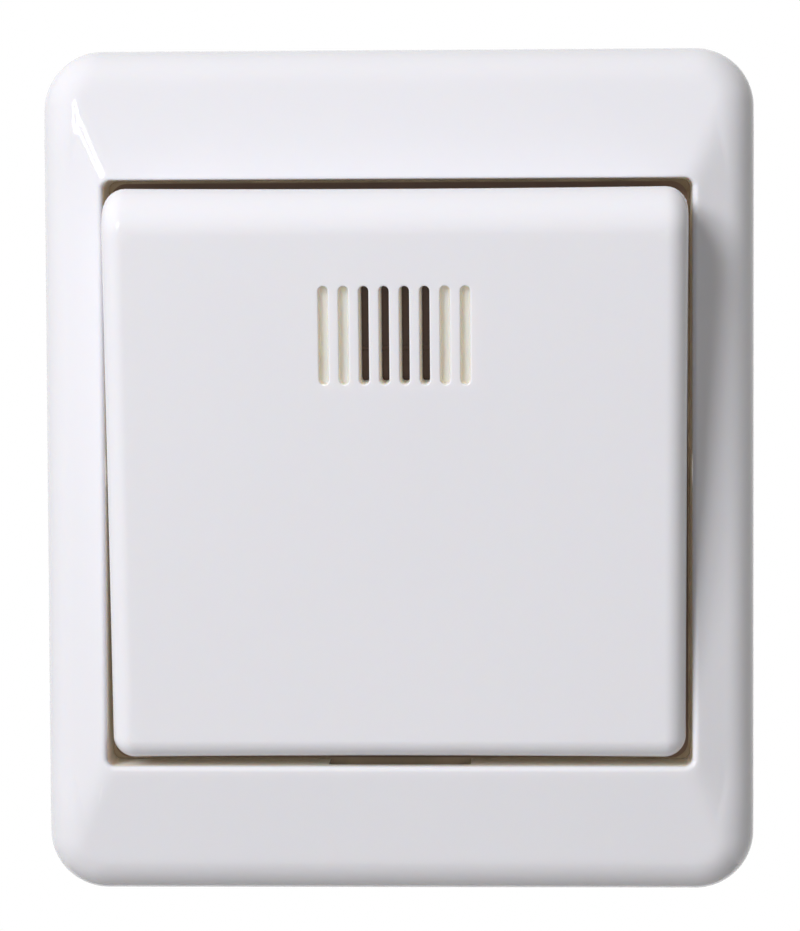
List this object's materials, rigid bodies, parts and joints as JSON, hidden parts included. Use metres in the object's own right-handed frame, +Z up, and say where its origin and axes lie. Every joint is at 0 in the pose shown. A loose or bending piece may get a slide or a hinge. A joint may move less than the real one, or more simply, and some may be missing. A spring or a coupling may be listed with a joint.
{
  "type": "illuminated push button switch",
  "caption": "Flush wall push button with a tilted square rocker, slotted light window and a broad sloping cover frame over a screw-fixed switch mechanism.",
  "frame": {"origin": "centre of the support ring's back face, on the wall plane between the two box screws", "axes": "+Z up the wall, +X to the right seen from the front, +Y into the wall box, so the front faces -Y"},
  "size_m": [0.085, 0.0433, 0.101],
  "materials": {
    "white_gloss": "glossy moulded thermoset, cool white",
    "white_satin": "semi-gloss moulded plastic, cool white",
    "smoked_window": "dark brown translucent lens, unlit",
    "brown_thermoset": "dark brown pressed thermoset, slight sheen",
    "cream_plastic": "satin moulded plastic",
    "zinc_steel": "bright zinc plate",
    "bright_steel": "drawn bright",
    "spring_steel": "hardened strip and wire",
    "spring_bronze": "rolled phosphor bronze",
    "brass": "stamped and turned brass",
    "silver": "fine silver contact face",
    "lamp_glass": "clear glass capsule",
    "tinned_copper": "tinned wire",
    "resistor_body": "lacquered body"
  },
  "bodies": {
    "root": {"cover_frame": "white_gloss", "support_ring": "zinc_steel", "mechanism_base": "brown_thermoset", "mechanism_cover": "brown_thermoset", "cover_screws": "zinc_steel", "pivot_pin": "bright_steel", "return_spring_right": "spring_steel", "return_spring_left": "spring_steel", "contact_spring": "spring_steel", "fixed_contact_tip": "silver", "fixed_contact": "brass", "contact_bracket": "brass", "contact_pin": "bright_steel", "live_terminal": "brass", "switched_terminal": "brass", "lamp_terminal": "brass", "neutral_terminal": "brass", "terminal_screws": "zinc_steel", "frame_clip_top": "spring_steel", "frame_clip_bottom": "spring_steel", "clip_rivets": "brass", "neon_lamp_glass": "lamp_glass", "lamp_electrodes": "bright_steel", "lamp_lead_upper": "tinned_copper", "lamp_lead_lower": "tinned_copper", "resistor_lead": "tinned_copper", "series_resistor": "resistor_body"},
    "button": {"button_rocker": "white_satin", "light_window": "smoked_window", "rocker_carrier": "brown_thermoset"},
    "contact_plunger": {"contact_plunger": "cream_plastic"},
    "spring_plunger": {"spring_plunger": "cream_plastic"},
    "moving_contact": {"moving_contact": "spring_bronze", "moving_contact_tip": "silver"},
    "claw_screw_right": {"claw_screw_right": "zinc_steel"},
    "claw_nut_right": {"claw_nut_right": "zinc_steel"},
    "claw_right": {"claw_right": "zinc_steel"},
    "claw_screw_left": {"claw_screw_left": "zinc_steel"},
    "claw_nut_left": {"claw_nut_left": "zinc_steel"},
    "claw_left": {"claw_left": "zinc_steel"}
  },
  "joints": [
    {"name": "button_press", "type": "hinge", "parent": "root", "child": "button", "pos_m": [0, -0.0106, 0], "axis": [-1, 0, 0], "range_deg": [0, 8], "stiffness_Nm_per_rad": 0.2, "springref_deg": -14.32, "deforming": ["return_spring_right", "return_spring_left", "contact_spring"]},
    {"name": "contact_plunger_travel", "type": "slide", "parent": "root", "child": "contact_plunger", "axis": [0, 1, 0], "range_m": [0, 0.0014]},
    {"name": "spring_plunger_travel", "type": "slide", "parent": "root", "child": "spring_plunger", "axis": [0, 1, 0], "range_m": [0, 0.0014]},
    {"name": "contact_swing", "type": "hinge", "parent": "root", "child": "moving_contact", "pos_m": [0.0105, 0.0016, -0.008], "axis": [-1, 0, 0], "range_deg": [0, 4.45]},
    {"name": "claw_screw_right_turn", "type": "hinge", "parent": "root", "child": "claw_screw_right", "pos_m": [0.0245, 0, -0.01], "axis": [0, 1, 0], "range_deg": [0, 2160]},
    {"name": "claw_nut_right_travel", "type": "slide", "parent": "root", "child": "claw_nut_right", "axis": [0, -1, 0], "range_m": [0, 0.00301]},
    {"name": "claw_right_spread", "type": "slide", "parent": "root", "child": "claw_right", "axis": [0.7071, -0.7071, 0], "range_m": [0, 0.00425]},
    {"name": "claw_screw_left_turn", "type": "hinge", "parent": "root", "child": "claw_screw_left", "pos_m": [-0.0245, 0, 0.01], "axis": [0, 1, 0], "range_deg": [0, 2160]},
    {"name": "claw_nut_left_travel", "type": "slide", "parent": "root", "child": "claw_nut_left", "axis": [0, -1, 0], "range_m": [0, 0.00301]},
    {"name": "claw_left_spread", "type": "slide", "parent": "root", "child": "claw_left", "axis": [-0.7071, -0.7071, 0], "range_m": [0, 0.00425]}
  ],
  "couplings": [
    {"joint": "contact_plunger_travel", "follows": "button_press", "m_per_rad": 0.01},
    {"joint": "spring_plunger_travel", "follows": "button_press", "m_per_rad": 0.01},
    {"joint": "contact_swing", "follows": "button_press", "ratio": 0.55556},
    {"joint": "claw_nut_right_travel", "follows": "claw_screw_right_turn", "m_per_rad": 0.000079577},
    {"joint": "claw_right_spread", "follows": "claw_screw_right_turn", "m_per_rad": 0.00011254},
    {"joint": "claw_nut_left_travel", "follows": "claw_screw_left_turn", "m_per_rad": 0.000079577},
    {"joint": "claw_left_spread", "follows": "claw_screw_left_turn", "m_per_rad": 0.00011254}
  ]
}
